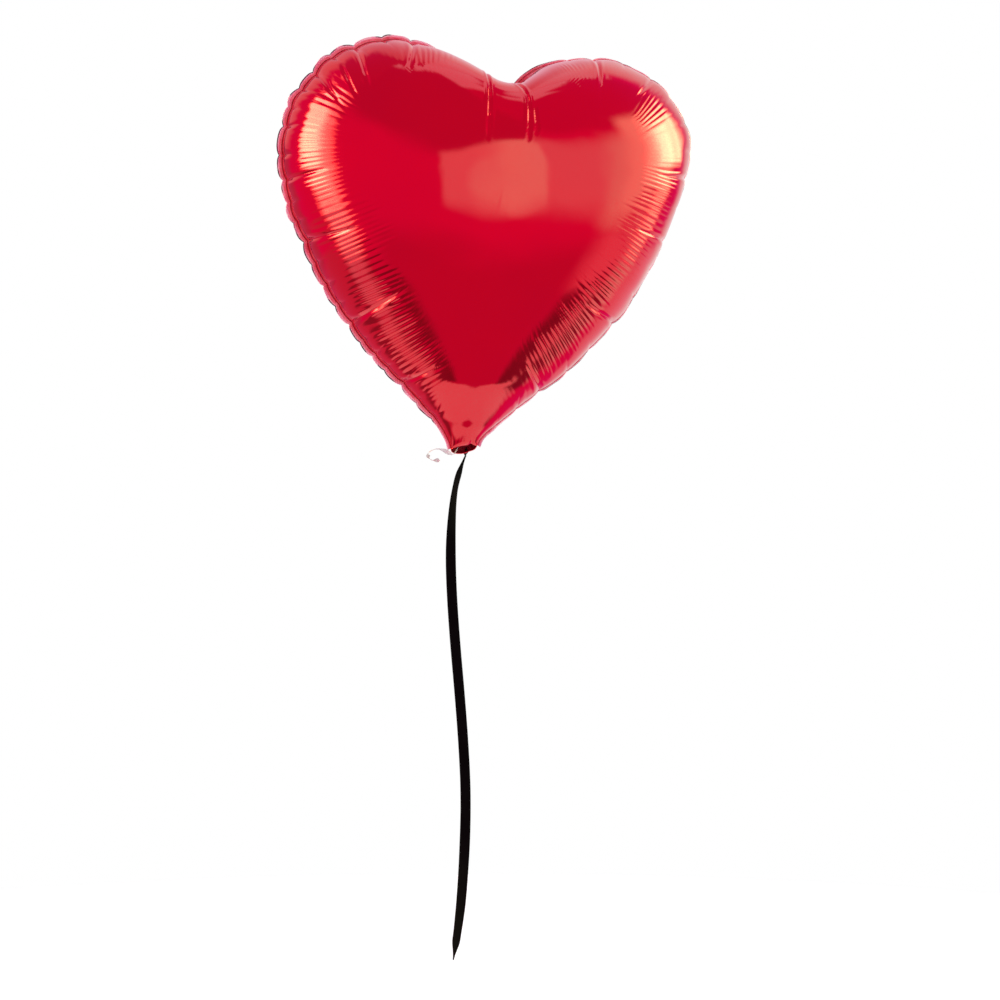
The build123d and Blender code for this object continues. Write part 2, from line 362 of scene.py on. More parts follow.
def back_specs():
    """The back panel is pinched at the same places, with creases and ribs of its own."""
    rng = np.random.default_rng(11)
    pinches = []
    for place, depth, width, _, _, start in PINCHES:
        if start == 0:
            big = depth > 2.1 and rng.random() > 0.25
            length = rng.uniform(50, 90) if big else rng.uniform(16, 30)
            pinches.append((place, depth, width, length, rng.uniform(-16, 16), 0))

    def band(first, last, middle):
        return [(s, float(rng.choice([0.15, middle, 1.0])), float(rng.uniform(-8, 8)))
                for s in np.arange(first, last, 0.024)]

    ribs = [(0.0, 0.0, 0), (0.06, 0.1, 0), *band(0.1, 0.44, 0.8), (0.46, 0.1, 0), (0.54, 0.1, 0),
            *band(0.57, 0.90, 0.9), (0.95, 0.1, 0), (1.0, 0.0, 0)]
    return pinches, ribs


def away_from_mouth(s):
    return smooth(14, 60, np.abs(off(s, S_TAIL)))


def edge_pucker(s):
    """Inward and outward moves of the sealed edge itself, shared by both panels and the flange, in mm."""
    out = np.zeros_like(s)
    for place, depth, width, _, _, start in PINCHES:
        if start == 0:
            out -= 0.74 * depth * np.exp(-np.abs(off(s, place)) / width)
    out += 0.45 * wave_noise(s, 6, 6, 28)
    out *= away_from_mouth(s)
    for place, move, half in DRIFTS:
        out += move * np.exp(-(off(s, place) / (half * RIM_LEN)) ** 2)
    return out


def pinch_folds(pinches):
    """The folds that run up the dome from the pinches in its edge."""
    s, d = EDGE_S % 1.0, DEPTH
    # on the round lobes, lines square to the edge draw together as they go in
    lobes = 1 - 0.006 * EDGE_D * (between(0.05, 0.1, 0.22, 0.26, s) + between(0.74, 0.78, 0.94, 0.97, s))
    folds = np.zeros_like(d)
    for place, depth, width, length, slant, start in pinches:
        t = np.abs(off(s, place) * lobes - tan(radians(slant)) * EDGE_D)
        fade = 1 - smooth(0.5, 1.0, d / length)
        wide = np.exp(-(t / (2.4 * width)) ** 2) * (1 - smooth(0.3, 1.3, d / length))
        if start:
            fade = fade ** 0.5 * smooth(start - 8, start + 12, d)
            wide = 0.0
        w = width * (0.24 + 0.34 * np.exp(-d / 22.0))
        fold = np.exp(-t / w) - 0.34 * np.exp(-((t - 2.6 * w) / (1.4 * w)) ** 2)
        folds -= depth * (0.46 * fold * fade + 0.20 * wide) * (1.0 if length > 32 else 0.5)
    return folds


def crease_folds():
    """The long creases below the cleft."""
    folds = np.zeros_like(DEPTH)
    for line, depth, width in CREASES:
        t, u = np.full_like(DEPTH, 1e9), np.zeros_like(DEPTH)
        for k, (a, b) in enumerate(zip(line, line[1:])):
            step = np.subtract(b, a)
            gap = np.stack([BASE[..., 0] - a[0], BASE[..., 2] - a[1]], -1)
            part = np.clip(gap @ step / (step @ step), 0, 1)
            dist = np.hypot(*np.moveaxis(gap - part[..., None] * step, -1, 0))
            u = np.where(dist < t, (k + part) / (len(line) - 1), u)
            t = np.minimum(t, dist)
        fold = np.exp(-t / width) - 0.30 * np.exp(-((t - 2.8 * width) / (1.5 * width)) ** 2)
        folds -= depth * fold * smooth(0.0, 0.25, u + 0.05) * (1 - smooth(0.75, 1.0, u))
    return folds


def fine_ribs(ribs, seed, rng):
    """Fine ribs of the shoulder, each with its own length and strength."""
    s, d = EDGE_S % 1.0, DEPTH
    rib_places, strengths, slants = zip(*ribs)
    sr = s - np.tan(np.radians(np.interp(s, rib_places, slants))) * EDGE_D / RIM_LEN
    fine = np.linspace(-0.5, 1.5, 4001)
    lobe = between(0.10, 0.13, 0.20, 0.23, fine % 1) + between(0.755, 0.775, 0.86, 0.9, fine % 1)
    counted = np.cumsum(RIM_LEN * 2 / 4000 / (FLANK_PITCH + (LOBE_PITCH - FLANK_PITCH) * lobe))
    phase = np.interp(sr, fine, counted)
    phase = phase + 0.9 * wave_noise(sr, seed + 1, 4, 22) + 0.3 * wave_noise(sr, seed + 2, 30, 60)
    index = np.floor(phase).astype(int) % RIB_KINDS
    places, starts, ends = zip(*RIB_REACH)
    near = np.interp(s, places, starts) + rng.uniform(-6, 6, RIB_KINDS)[index]
    far = np.interp(s, places, ends) + rng.uniform(-10, 8, RIB_KINDS)[index]
    amp = rng.uniform(0.35, 1.0, RIB_KINDS)[index]
    zone = np.interp(sr % 1.0, rib_places, strengths)
    f = phase - np.floor(phase)
    env = smooth(near - 6, near + 8, d) * (1 - smooth(far * 0.82, far, d))
    return 0.34 * zone * env * (np.sin(pi * f) ** 1.2 * (0.55 + 0.45 * amp) - 0.4)


def wrinkles(pinches, ribs, seed):
    """Moves of the panel's grid along the surface normal, in mm."""
    s, d = EDGE_S % 1.0, DEPTH
    col = np.broadcast_to(S, d.shape)
    rng = np.random.default_rng(seed)
    inside = 1 - np.exp(-(d / 9.0) ** 2)
    out = edge_pucker(col) * np.exp(-(d / 15.0) ** 1.4)
    out += inside * (pinch_folds(pinches) + crease_folds())
    out += fine_ribs(ribs, seed, rng)
    # puffs between the pinches and slow unevenness of the shoulder
    out += inside * 0.45 * wave_noise(s, seed + 3, 14, 40) * np.exp(-((d - 26) / 26.0) ** 2)
    out += 0.5 * wave_noise(col, seed + 4, 3, 8) * np.exp(-((d - 70) / 45.0) ** 2)
    # long faint waves over the crown
    for _ in range(14):
        turn, wave, lag = rng.uniform(0, pi), rng.uniform(34, 95), rng.uniform(0, 2 * pi)
        run = (BASE[..., 0] * np.cos(turn) + BASE[..., 2] * np.sin(turn)) * 2 * pi / wave
        out += 0.0007 * wave * np.sin(run + lag) * smooth(70, 110, d)
    # near the mouth only what moves the edge itself is left
    rim_share = np.exp(-((d + 1) / 3.0))
    out *= away_from_mouth(col) * (1 - rim_share) + rim_share
    near_mouth = off(col, S_TAIL)
    for place, depth, width, length in MOUTH_FOLDS:
        fold = np.exp(-((near_mouth - place) / width) ** 2)
        out -= depth * fold * smooth(0, 6, d) * (1 - smooth(0.3, 1.0, d / length))
    return out


# ---------------------------------------------------------------- foil panels
def surface_normals(p):
    """Unit normals of a grid closed along its columns, pointing out of the front."""
    along = np.roll(p, -1, 1) - np.roll(p, 1, 1)
    down = np.gradient(p, axis=0)
    n = np.cross(along, down)
    n /= np.linalg.norm(n, axis=-1, keepdims=True) + 1e-12
    return -n if n[20, :, 1].mean() > 0 else n


def mouth_shape(p, side):
    """Opens the tail's end: the front lip is higher, with a notch, and the back lip hangs lower."""
    x, z = p[..., 0], p[..., 2]
    lens = np.sqrt(1 - across_neck(x, z) ** 2)
    near = 1 - smooth(0, 22, z - MOUTH_Z)
    p[..., 1] -= MOUTH_Y * lens * near
    # the mouth slants: it hangs lower towards -X
    drop = (-1.25 + 0.205 * x) * near
    if side < 0:
        lip = 2.4 * lens + 1.3 * np.exp(-((x - 5.4) / 1.9) ** 2)
    else:
        lip = -4.7 * lens * (1 - 0.15 * np.exp(-((x - 6.0) / 3.0) ** 2))
    p[..., 2] += drop + lip * (1 - smooth(0, 9, z - MOUTH_Z))


def panel_grid(side, pinches, ribs, seed):
    p = BASE + surface_normals(BASE) * wrinkles(pinches, ribs, seed)[..., None]
    p[0, :, 1] = 0.0
    mouth_shape(p, side)
    if side > 0:
        p[..., 1] *= -1
    return p


def panel_mesh(p, side):
    """Vertices and faces of a panel: the rings get coarser towards the smooth crown."""
    rows = len(PHIS)
    coarser_at = (43, 55, 64, 72)
    rings = [p[i, ::2 ** sum(i >= at for at in coarser_at)] for i in range(rows)]
    start = np.cumsum([0] + [len(r) for r in rings])
    verts = np.vstack(rings + [[[p[-1, :, 0].mean(), side * DOME_H, DOME_Z]]])
    faces = []
    for i in range(rows - 1):
        a, b = len(rings[i]), len(rings[i + 1])
        for j in range(b):
            lo, hi = start[i + 1] + j, start[i + 1] + (j + 1) % b
            if a == b:
                faces.append((start[i] + j, start[i] + (j + 1) % b, hi, lo))
            else:
                m0, m1, m2 = start[i] + 2 * j, start[i] + 2 * j + 1, start[i] + (2 * j + 2) % a
                faces += [(m0, m1, lo), (m1, hi, lo), (m1, m2, hi)]
    last = len(rings[-1])
    faces += [(start[-2] + j, start[-2] + (j + 1) % last, start[-1]) for j in range(last)]
    return verts, faces if side > 0 else [q[::-1] for q in faces]


def smooth_normals(verts, faces):
    me = bpy.data.meshes.new("scratch")
    me.from_pydata(verts.tolist(), [], faces)
    me.update()
    n = np.empty(len(verts) * 3, np.float32)
    me.vertex_normals.foreach_get("vector", n)
    bpy.data.meshes.remove(me)
    return n.reshape(-1, 3)


def part_of(verts, normals, faces, wanted):
    """The wanted faces with only the vertices that they use."""
    faces = [q for q, w in zip(faces, wanted) if w]
    used = sorted({v for q in faces for v in q})
    at = {v: i for i, v in enumerate(used)}
    return verts[used], normals[used], [tuple(at[v] for v in q) for q in faces]


def tube(points, radius, sides=6, closed=True, squash=1.0):
    """Tube of small radius round a line of points, as vertices and faces."""
    p = np.asarray(points, float)
    t = unit(np.roll(p, -1, 0) - np.roll(p, 1, 0) if closed else np.gradient(p, axis=0))
    up = np.array([0.13, 1.0, 0.21])     # no line here runs this way
    a = unit(np.cross(t, up))
    b = np.cross(t, a)
    ang = np.linspace(0, 2 * pi, sides, endpoint=False)
    r = np.broadcast_to(radius, (len(p),))[:, None, None]
    ring = np.cos(ang)[None, :, None] * a[:, None] + squash * np.sin(ang)[None, :, None] * b[:, None]
    v = p[:, None] + r * ring
    faces = []
    n = len(p)
    for i in range(n if closed else n - 1):
        for j in range(sides):
            i2, j2 = (i + 1) % n, (j + 1) % sides
            faces.append((i * sides + j, i * sides + j2, i2 * sides + j2, i2 * sides + j))
    if not closed:
        faces += [tuple(range(sides))[::-1], tuple((n - 1) * sides + j for j in range(sides))]
    return v.reshape(-1, 3), faces


def joined(*parts):
    """Several (vertices, faces) pairs as one."""
    verts, faces, at = [], [], 0
    for v, f in parts:
        verts.append(v)
        faces += [tuple(i + at for i in q) for q in f]
        at += len(v)
    return np.vstack(verts), faces


# ---------------------------------------------------------------- node helpers
class Nodes:
    """Short words for building a node tree."""

    def __init__(self, tree):
        self.tree = tree
        tree.nodes.clear()

    def new(self, kind, inputs=None, **props):
        n = self.tree.nodes.new(kind)
        for k, v in props.items():
            setattr(n, k, v)
        for k, v in (inputs or {}).items():
            self.put(n.inputs[k], v)
        return n

    def put(self, socket, value):
        if isinstance(value, bpy.types.NodeSocket):
            self.tree.links.new(value, socket)
        elif isinstance(value, tuple) and len(value) == 3 and socket.type == "RGBA":
            socket.default_value = (*value, 1.0)
        else:
            socket.default_value = value

    def math(self, op, a, b=0.0, c=0.0):
        n = self.tree.nodes.new("ShaderNodeMath")
        n.operation = op
        for s, v in zip(n.inputs, (a, b, c)):
            self.put(s, v)
        return n.outputs[0]

    def step(self, value, lo, hi, a=0.0, b=1.0):
        inputs = {"Value": value, "From Min": lo, "From Max": hi, "To Min": a, "To Max": b}
        return self.new("ShaderNodeMapRange", inputs, interpolation_type="SMOOTHSTEP").outputs[0]

    def mix(self, factor, a, b):
        n = self.tree.nodes.new("ShaderNodeMix")
        n.data_type = "RGBA"
        self.put(n.inputs[0], factor)
        self.put(n.inputs[6], a)
        self.put(n.inputs[7], b)
        return n.outputs[2]

    def noise(self, coord, scale, detail=3.0, rough=0.5):
        inputs = {"Vector": coord, "Scale": scale, "Detail": detail, "Roughness": rough}
        return self.new("ShaderNodeTexNoise", inputs).outputs["Fac"]


def relief(g, b, height, strength, distance):
    """Fine relief, too small for geometry."""
    bump = g.new("ShaderNodeBump", {"Height": height, "Strength": strength, "Distance": distance})
    g.put(b.inputs["Normal"], bump.outputs[0])


def material(name):
    mat = bpy.data.materials.new(name)
    mat.use_nodes = True
    g = Nodes(mat.node_tree)
    out = g.new("ShaderNodeOutputMaterial")
    bsdf = g.new("ShaderNodeBsdfPrincipled")
    g.tree.links.new(bsdf.outputs[0], out.inputs[0])
    coord = g.new("ShaderNodeTexCoord").outputs["Object"]
    return mat, g, bsdf, coord


# ---------------------------------------------------------------- materials
def foil_material():
    """Red lacquer over aluminised film: a tinted mirror under a clear coat, with faint handling marks."""
    mat, g, b, co = material("red_foil")
    cloud = g.noise(co, 9.0, 4.0)
    lacquer = g.mix(g.step(cloud, 0.3, 0.7), (0.74, 0.0012, 0.018), (0.70, 0.0020, 0.022))
    g.put(b.inputs["Base Color"], lacquer)
    b.inputs["Metallic"].default_value = 1.0
    smear = g.noise(co, 26.0, 5.0, 0.65)
    g.put(b.inputs["Roughness"], g.step(smear, 0.35, 0.8, 0.075, 0.15))
    b.inputs["Coat Weight"].default_value = 1.0
    b.inputs["Coat Roughness"].default_value = 0.06
    b.inputs["Coat IOR"].default_value = 1.5
    fine = g.noise(co, 420.0, 2.0)
    broad = g.noise(co, 60.0, 3.0)
    height = g.math("ADD", g.math("MULTIPLY", fine, 0.25), broad)
    relief(g, b, height, 0.10, 0.0004)
    return mat


def seam_material():
    """Fused film at the edge, pale and pinkish, with painted shade along the panels and at its cut edge."""
    mat, g, b, co = material("sealed_edge")
    across = g.new("ShaderNodeAttribute", attribute_name="across").outputs["Fac"]
    blot = g.noise(co, 130.0, 4.0)
    rosy = g.mix(g.step(blot, 0.35, 0.65), (0.76, 0.10, 0.16), (0.84, 0.24, 0.32))
    # paler towards the cut edge: partly the fused film's own colour, partly a painted reflection of the white
    # room
    pale = g.mix(g.step(across, 0.45, 0.80), rosy, (0.95, 0.66, 0.80))
    # a dark band where the strip meets the panels: painted shade at the joint
    inner = g.mix(g.step(across, 0.04, 0.22), (0.34, 0.008, 0.024), pale)
    # dark broken dashes near the cut edge: painted shadow of the edge
    painted_shadow_dashes = g.math("MULTIPLY", g.step(across, 0.76, 0.86), g.step(g.noise(co, 45.0, 1.0), 0.47, 0.55))
    g.put(b.inputs["Base Color"], g.mix(painted_shadow_dashes, inner, (0.030, 0.012, 0.015)))
    b.inputs["Metallic"].default_value = 0.35
    g.put(b.inputs["Roughness"], g.step(blot, 0.3, 0.7, 0.34, 0.5))
    crimp = g.new("ShaderNodeTexWave", {"Vector": co, "Scale": 160.0, "Distortion": 3.0, "Detail": 2.0})
    relief(g, b, crimp.outputs["Fac"], 0.25, 0.0002)
    return mat


def film_material(name, grey, clear, hazy):
    """Clear polythene of the valve, hazier where it is crumpled."""
    mat, g, b, co = material(name)
    haze = g.noise(co, 180.0, 4.0)
    g.put(b.inputs["Base Color"], g.mix(haze, (grey, grey, grey + 0.03), (0.93, 0.93, 0.95)))
    g.put(b.inputs["Roughness"], g.step(haze, 0.3, 0.7, 0.08, 0.25))
    g.put(b.inputs["Alpha"], g.step(haze, 0.3, 0.7, clear, hazy))
    b.inputs["IOR"].default_value = 1.5
    b.inputs["Specular IOR Level"].default_value = 0.7
    relief(g, b, g.noise(co, 320.0, 2.0), 0.2, 0.0003)
    return mat


def skin_material():
    """The inner skin of the tail, a duller red than the outside: its darkness is painted shade inside the
    mouth.
    """
    mat, g, b, co = material("inner_skin")
    cloud = g.noise(co, 160.0, 4.0)
    # the dark red, with a random tone, is painted shade for the inside of the tail
    g.put(b.inputs["Base Color"], g.mix(g.step(cloud, 0.3, 0.7), (0.24, 0.002, 0.010), (0.34, 0.004, 0.020)))
    b.inputs["Metallic"].default_value = 0.3
    g.put(b.inputs["Roughness"], g.step(cloud, 0.3, 0.7, 0.4, 0.55))
    relief(g, b, g.noise(co, 400.0, 2.0), 0.3, 0.0003)
    return mat


def ribbon_material():
    """Black satin ribbon with a fine rib across it."""
    mat, g, b, co = material("black_ribbon")
    weave = g.new("ShaderNodeTexWave", {"Vector": co, "Scale": 900.0, "Distortion": 0.4}, bands_direction="Z")
    cloud = g.noise(co, 60.0, 3.0)
    g.put(b.inputs["Base Color"], g.mix(cloud, (0.0012, 0.0010, 0.0014), (0.0032, 0.0028, 0.0036)))
    g.put(b.inputs["Roughness"], g.step(weave.outputs["Fac"], 0.2, 0.8, 0.5, 0.65))
    b.inputs["Specular IOR Level"].default_value = 0.02
    relief(g, b, weave.outputs["Fac"], 0.3, 0.0001)
    return mat


FOIL, SEAM, SKIN, BLACK = foil_material(), seam_material(), skin_material(), ribbon_material()
FILM = film_material("clear_film", 0.80, 0.16, 0.42)
LOOSE_FILM = film_material("loose_film", 0.42, 0.45, 0.95)

# ---------------------------------------------------------------- the envelope
panels = [
    (-1, "front_panel", "front_foil", PINCHES, RIBS, 40),
    (1, "back_panel", "back_foil", *back_specs(), 60),
]
tail_parts, rims = [], []
for side, name, node, pinches, ribs, seed in panels:
    grid = panel_grid(side, pinches, ribs, seed)
    verts, faces = panel_mesh(grid, side)
    normals = smooth_normals(verts, faces)
    high = [max(verts[v, 2] for v in q) > TAIL_TOP for q in faces]
    v, n, f = part_of(verts, normals, faces, high)
    ob = new_mesh(name, leaned(v), f, "envelope", FOIL, leaned(n) / MM)
    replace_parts(ob, node)
    tail_parts.append(part_of(verts, normals, faces, [not h for h in high]))
    rims.append(grid[0])

# the tail: the lowest part of both panels with an inner skin, and a rolled lip round the mouth
SKIN_T, LIP_R, BACK_LIP_R = 0.22, 0.32, 0.25
MOUTH_COLS = int(round(MOUTH_X / RIM_LEN * AROUND))
span = np.arange(COL_TAIL - MOUTH_COLS, COL_TAIL + MOUTH_COLS + 1)
lip = np.vstack([rims[0][span], rims[1][span][::-1][1:-1]])
back_lip = np.r_[np.zeros(len(span)), np.sin(np.linspace(0, pi, len(span)))[1:-1]]
lip_v, lip_f = tube(lip, LIP_R + BACK_LIP_R * back_lip)
lip_n = smooth_normals(lip_v, lip_f)
skins = [(v - SKIN_T * n, -n, [q[::-1] for q in f]) for v, n, f in tail_parts]
verts, faces = joined(*[(v, f) for v, _, f in tail_parts + skins], (lip_v, lip_f))
normals = leaned(np.vstack([n for _, n, _ in tail_parts + skins] + [lip_n])) / MM
tail = new_mesh("tail", leaned(verts), faces, "envelope", FOIL, normals)
tail.data.materials.append(SKIN)
outer, inner = (sum(len(f) for _, _, f in group) for group in (tail_parts, skins))
for face in tail.data.polygons[outer:outer + inner]:
    face.material_index = 1
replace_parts(tail, "inflation_tail")


def flange():
    """The fused edge: a thin crimped strip round the heart and down both sides of the tail."""
    cols = np.arange(COL_TAIL + MOUTH_COLS + 1, COL_TAIL - MOUTH_COLS + AROUND) % AROUND
    s = S[cols]
    base = rims[0][cols]
    t = unit(np.roll(RIM, -3, 0) - np.roll(RIM, 3, 0))
    n = np.c_[-t[:, 1], t[:, 0]][cols]
    near = np.abs(off(s, S_TAIL))
    width = TAIL_SEAM_W + (SEAM_W - TAIL_SEAM_W) * smooth(20, 60, near)
    width *= 1 + 0.10 * wave_noise(s, 30, 30, 90)
    # it is gathered at the pinches
    gather = np.zeros_like(s)
    for place, depth, _, _, _, start in PINCHES:
        if start == 0:
            gather += min(depth, 2.6) / 2.6 * np.exp(-np.abs(off(s, place)) / 2.4)
    width *= 1 - 0.22 * np.clip(gather, 0, 1)
    # on the right it is narrower and turns back, and beside the cleft it turns back a little
    width *= 1 - 0.45 * between(0.0, 0.02, 0.44, 0.48, s)
    tilt = radians(58) * between(0.03, 0.07, 0.45, 0.485, s)
    tilt += radians(20) * (smooth(0.86, 0.93, s) + 1 - smooth(0.0, 0.03, s))
    tilt += 0.22 * wave_noise(s, 31, 18, 60) * smooth(20, 60, near)
    # distance out from the sealed edge and half thickness, in mm, with a bead near the cut edge
    upper = [(-0.8, 0.10), (0.5, 0.20), (2.5, 0.15), (4.35, 0.15), (4.7, 0.36)]
    profile = [*upper, (SEAM_W, 0.0), *((u, -v) for u, v in upper[::-1])]
    verts, across = [], []
    for u, rise in profile:
        k = u / SEAM_W
        reach = width * k
        a = tilt * smooth(0.0, 0.5, np.full_like(s, k))
        radial = reach * np.cos(a) - rise * np.sin(a)
        depth_y = reach * np.sin(a) + rise * np.cos(a)
        verts.append(base + np.c_[n[:, 0] * radial, depth_y, n[:, 1] * radial])
        across.append(np.full(len(s), k))
    verts, across = np.stack(verts), np.concatenate(across)
    rows, count = len(profile), len(s)
    faces = []
    for i in range(rows):
        row, below = i * count, (i + 1) % rows * count
        faces += [(row + j, below + j, below + j + 1, row + j + 1) for j in range(count - 1)]
    cut = [i * count for i in range(rows)]
    faces += [tuple(cut[::-1]), tuple(i + count - 1 for i in cut)]
    ob = new_mesh("sealed_edge", leaned(verts.reshape(-1, 3)), faces, "envelope", SEAM)
    ob.data.attributes.new("across", "FLOAT", "POINT").data.foreach_set("value", across.astype(np.float32))
    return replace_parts(ob, "edge_seam")


flange()


def film_strip(name, node, line, x0, x1, seed):
    """A thin clear film that follows a line of (y, z) points, with soft ripples."""
    rows, cols = 48, 16
    p = np.array(line, float)
    run = np.r_[0, np.cumsum(np.hypot(*np.diff(p, axis=0).T))]
    t = np.linspace(0, run[-1], rows)
    p = np.stack([np.interp(t, run, c) for c in p.T], -1)
    for _ in range(4):
        p[1:-1] = 0.5 * p[1:-1] + 0.25 * (p[:-2] + p[2:])
    x = np.linspace(x0, x1, cols)
    ripple = np.sin(x * 0.75 + seed)[None] * np.sin(t * 0.16 + seed)[:, None]
    grid = np.empty((rows, cols, 3))
    grid[..., 0] = x + 0.15 * np.sin(t * 0.4)[:, None]
    grid[..., 1] = p[:, :1] + 0.35 * ripple
    grid[..., 2] = p[:, 1:] + 0.2 * np.sin(x * 0.9 + seed)[None]
    verts, faces = two_sided(grid, grid + (0, FILM_T, 0))
    ob = new_mesh(name, leaned(verts), faces, "envelope", FILM)
    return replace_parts(ob, node)


FILM_T = 0.12
front_line = [(-1.8, 9.0), (-2.6, 14.0), (-1.0, 34.0), (-0.8, 88.0)]
back_line = [(1.8, 8.0), (2.6, 14.0), (1.0, 34.0), (0.7, 88.0)]
film_strip("valve_front_ply", "valve_front_film", front_line, -8.6, 8.6, 1.0)
film_strip("valve_back_ply", "valve_back_film", back_line, -8.4, 8.8, 2.2)

# the loose end's middle line, from inside the mouth to its tip
TAB_LINE = [
    (-4.0, 0.4, 6.6),
    (-7.2, 0.2, -1.0),
    (-9.6, 0.0, -5.6),
    (-14.5, 0.0, -3.2),
    (-20.5, 0.1, -0.6),
    (-27.0, 0.0, -1.0),
    (-32.0, 0.2, -4.0),
    (-33.4, 0.0, -8.0),
    (-30.4, -0.2, -11.6),
    (-26.0, -0.1, -12.4),
    (-21.6, 0.0, -11.0),
]
# where along it the tab turns to face forward, and over how much of it
TAB_TWISTS = ((0.34, 0.07), (0.69, 0.05), (0.93, 0.07))


def curled_tab():
    """The loose clear end of the valve: it leaves the mouth on the -X side and curls back under itself."""
    p = np.array(TAB_LINE)
    # corners cut four times over, which rounds the line
    for _ in range(4):
        cut = np.empty((2 * len(p), 3))
        cut[0], cut[-1] = p[0], p[-1]
        cut[1:-1:2] = 0.75 * p[:-1] + 0.25 * p[1:]
        cut[2:-1:2] = 0.25 * p[:-1] + 0.75 * p[1:]
        p = cut
    u = np.linspace(0, 1, len(p))
    n = np.cross(unit(np.gradient(p, axis=0)), (0, 1, 0))
    across = np.linspace(-1, 1, 7)
    half = 2.1 - 0.3 * u ** 2
    turn = radians(66) * sum(np.exp(-((u - at) / wide) ** 2) for at, wide in TAB_TWISTS)
    facing = np.array([0, 1, 0]) * np.cos(turn)[:, None] + n * np.sin(turn)[:, None]
    grid = p[:, None] + facing[:, None] * (half[:, None] * across)[..., None]
    curl = 0.25 * np.sin(u * 30)[:, None] * np.sin(across * 2.2) + 0.25 * across ** 2
    grid = grid + n[:, None] * curl[..., None]
    verts, faces = two_sided(grid, grid + n[:, None] * 0.10)
    ob = new_mesh("curled_tab", leaned(verts), faces, "envelope", LOOSE_FILM)
    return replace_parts(ob, "valve_tab")


curled_tab()

# ---------------------------------------------------------------- ribbon, its bight and its knot
a = np.linspace(0, 2 * pi, 48, endpoint=False)
bight = np.c_[KNOT[0] + 0.25 * np.sin(2 * a), 3.6 + 1.55 * np.cos(a), 0.6 + 1.5 * np.sin(a)] * MM
v, f = tube(bight, 0.00055, 8, True, 0.55)
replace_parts(new_mesh("ribbon_bight", v, f, "envelope", BLACK), "ribbon_loop")

a = np.linspace(0, 2 * pi, 144, endpoint=False)
trefoil = np.c_[np.sin(a) + 2 * np.sin(2 * a), -1.5 * np.sin(3 * a), np.cos(a) - 2 * np.cos(2 * a)] * 0.60
v, f = tube((trefoil + KNOT) * MM, 0.00085, 10, True, 0.7)
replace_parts(new_mesh("knot_wraps", v, f, "knot", BLACK), "ribbon_knot")

curve = bpy.data.curves.new("ribbon_line", "CURVE")
curve.dimensions = "3D"
spline = curve.splines.new("NURBS")
spline.points.add(len(ROUTE) - 1)
for point, co in zip(spline.points, ROUTE):
    point.co = (*(c * MM for c in co), 1.0)
spline.order_u = 3
spline.use_endpoint_u = True
spline.resolution_u = 24
line_ob = bpy.data.objects.new("ribbon_line", curve)
bpy.context.collection.objects.link(line_ob)
bpy.context.view_layer.update()
line_mesh = bpy.data.meshes.new_from_object(line_ob)
line = np.array([v.co for v in line_mesh.vertices])
bpy.data.meshes.remove(line_mesh)
bpy.data.objects.remove(line_ob)
if line[0, 2] < line[-1, 2]:
    line = line[::-1]
run = np.r_[0, np.cumsum(np.linalg.norm(np.diff(line, axis=0), axis=1))]
length = run[-1]
at = np.linspace(0, length, 420)
path = np.stack([np.interp(at, run, c) for c in line.T], -1)


def ribbon():
    """A flat strip along the path, gathered and turned edge-on at the knot, turned again near its end."""
    down, up = at * 1000, (length - at) * 1000
    real = RIBBON_W * MM * np.minimum(0.20 + 0.80 * smooth(0, 26, down), 0.16 + 0.84 * smooth(0, 20, up))
    # how wide it looks from the front, by distance from either end, in mm: the rest is turned away
    below_knot = np.interp(down, [0, 12, 27, 42, 56, 71, 90], [1.5, 4.5, 6.4, 7.3, 8.2, 9.1, 9.5])
    above_end = np.interp(up, [0, 14, 29, 43, 58, 87, 101, 125], [1.0, 4.5, 6.4, 7.3, 8.2, 8.3, 9.1, 9.5])
    turn = np.arccos(np.clip(np.minimum(below_knot, above_end) * MM / real, 0, 1))
    turn = np.convolve(np.pad(turn, 12, mode="edge"), np.ones(25) / 25, "valid")
    turn *= np.where(down < length * 500, 1, -1)
    t = unit(np.gradient(path, axis=0))
    flat = unit(np.cross(t, (0, 1, 0)))
    out = np.cross(flat, t)
    w = flat * np.cos(turn)[:, None] + out * np.sin(turn)[:, None]
    n = np.cross(t, w)
    across = np.array([-1, -0.94, -0.6, -0.2, 0.2, 0.6, 0.94, 1])
    thick = np.array([0.05, 0.14, 0.13, 0.12, 0.12, 0.13, 0.14, 0.05]) * MM
    curl = 0.18 * MM * (1 - across ** 2)
    # its top end reaches into the knot
    spine = path.copy()
    spine[0] -= 0.9 * MM * t[0]
    middle = spine[:, None] + w[:, None] * (real[:, None] / 2 * across)[..., None]
    top, low = (middle + n[:, None] * rise[:, None] for rise in (curl + thick, curl - thick))
    loop = np.concatenate([top, low[:, ::-1]], axis=1)
    rows, cols = loop.shape[:2]
    faces = grid_faces(rows, cols, closed=True, flip=True)
    faces += [tuple(range(cols)), tuple((rows - 1) * cols + j for j in range(cols))[::-1]]
    ob = new_mesh("hanging_ribbon", loop.reshape(-1, 3), faces, "ribbon", BLACK)
    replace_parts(ob, "ribbon")
    return ob


ribbon()

